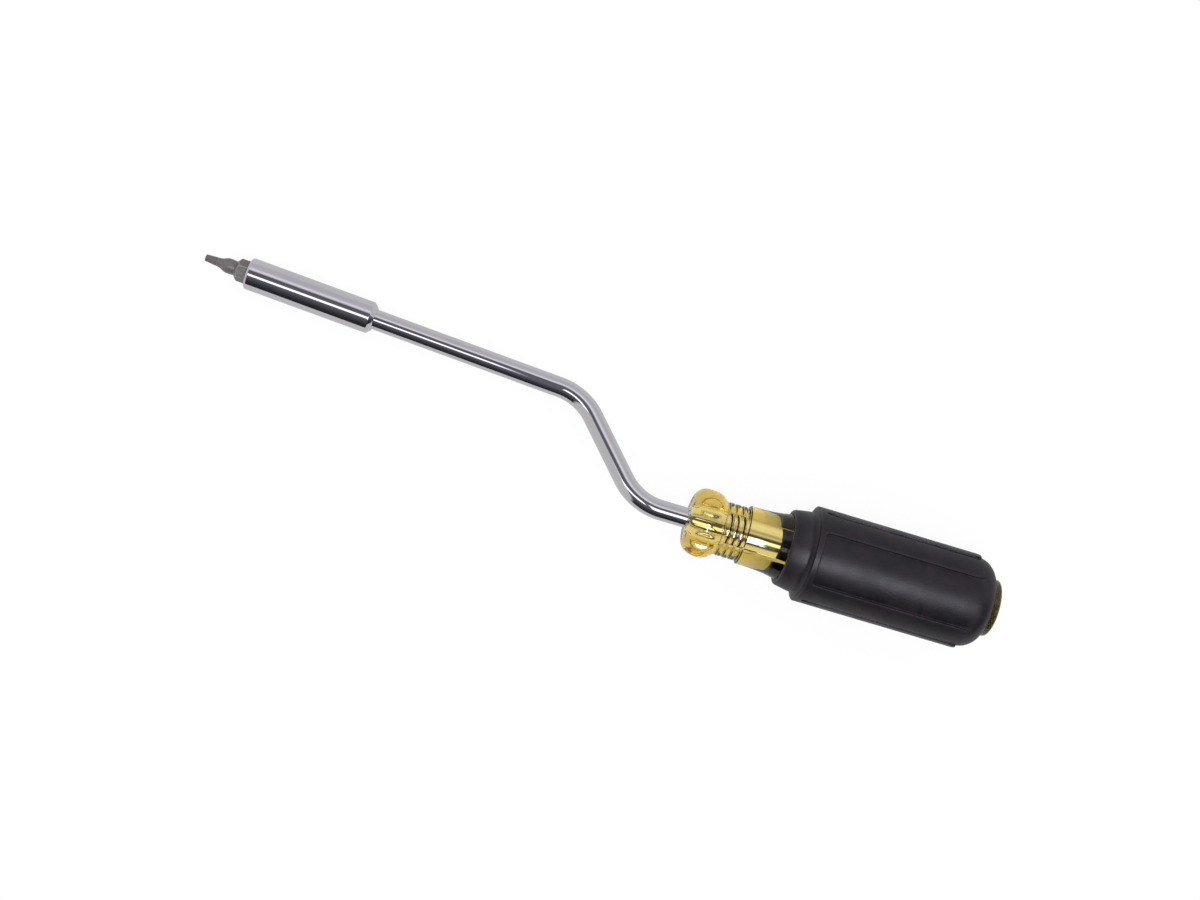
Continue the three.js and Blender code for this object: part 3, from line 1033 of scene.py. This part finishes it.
# %% [markdown]
# Three softboxes hang above the tool, and fade towards their rims. Two long ones draw the bright line
# down the chrome and the sheen along the rubber, with a gap between them where the camera stands. The
# small one hangs a little lower and is much brighter, and makes the white windows of light on the clear
# plastic. It lights only the plastic, the rubber and the bit, because the rim of so bright a lamp looks
# jagged in polished chrome.

# %% The softboxes
lamp_height = 0.9
window_height = 0.85
soft_rim = 0.04
watts_per_radiance = 4


def fade_out(lamp):
    """Lets a lamp fade towards its rim, as the cloth of a softbox does."""
    lamp.use_nodes = True
    tree = lamp.node_tree
    spot = add_node(tree, "ShaderNodeNewGeometry").outputs["Parametric"]
    sides = add_node(tree, "ShaderNodeSeparateXYZ", Vector=spot).outputs
    fades = []
    for side, length in ((sides["X"], lamp.size), (sides["Y"], lamp.size_y)):
        for near, far in ((0, soft_rim / length), (1, 1 - soft_rim / length)):
            fade = add_node(
                tree, "ShaderNodeMapRange", {"interpolation_type": "SMOOTHSTEP"}, Value=side,
                From_Min=near, From_Max=far,
            )
            fades.append(fade.outputs["Result"])
    across = times(tree, times(tree, fades[0], fades[1]), times(tree, fades[2], fades[3]))
    tree.links.new(across, tree.nodes["Emission"].inputs["Strength"])


def softbox(name, x_range, y_range, height, radiance, lit_pieces=()):
    """A flat lamp above the tool that faces down, and lights all pieces or just those named."""
    lamp = bpy.data.lights.new(name, "AREA")
    lamp.shape = "RECTANGLE"
    lamp.size = x_range[1] - x_range[0]
    lamp.size_y = y_range[1] - y_range[0]
    lamp.energy = radiance * watts_per_radiance * lamp.size * lamp.size_y
    fade_out(lamp)
    hung = bpy.data.objects.new(name, lamp)
    hung.location = (sum(x_range) / 2, sum(y_range) / 2, height)
    hung.visible_camera = False
    hung.visible_transmission = not lit_pieces
    bpy.context.scene.collection.objects.link(hung)
    if lit_pieces:
        hung.light_linking.receiver_collection = bpy.data.collections.new("lit_by_" + name)
        for piece in lit_pieces:
            hung.light_linking.receiver_collection.objects.link(piece)
    print(name, "of", round(lamp.energy, 2), "W")


softbox("long_softbox_left", (-0.6, -0.055), (-0.28, -0.02), lamp_height, radiance=1.2)
softbox("long_softbox_right", (-0.02, 0.65), (-0.42, 0.02), lamp_height, radiance=1.3)
softbox(
    "window", (0.1, 0.235), (-0.37, 0.03), window_height, radiance=20,
    lit_pieces=[handle_piece, grip_piece, bit_piece],
)

# %% [markdown]
# The camera stands half a metre above the table, a little left of the tool's middle, and is turned so
# that the tool runs down to the right. Its three directions are written out as measured, and form the
# camera's matrix.

# %% The camera
camera_right = Vector((0.95514, 0.28706, 0.07284))
camera_up = Vector((-0.28606, 0.95791, -0.02409))
camera_back = Vector((-0.07669, 0.00217, 0.99705))
camera_spot = Vector((-0.03719, 0.00184, 0.50455))

camera_data = bpy.data.cameras.new("camera")
camera_data.sensor_fit = "HORIZONTAL"
camera_data.sensor_width = 36
camera_data.lens = 48
camera = bpy.data.objects.new("camera", camera_data)
facing = Matrix((camera_right, camera_up, camera_back)).transposed().to_4x4()
camera.matrix_world = Matrix.Translation(camera_spot) @ facing
bpy.context.scene.collection.objects.link(camera)
bpy.context.scene.camera = camera
print("Camera at", tuple(camera.location))
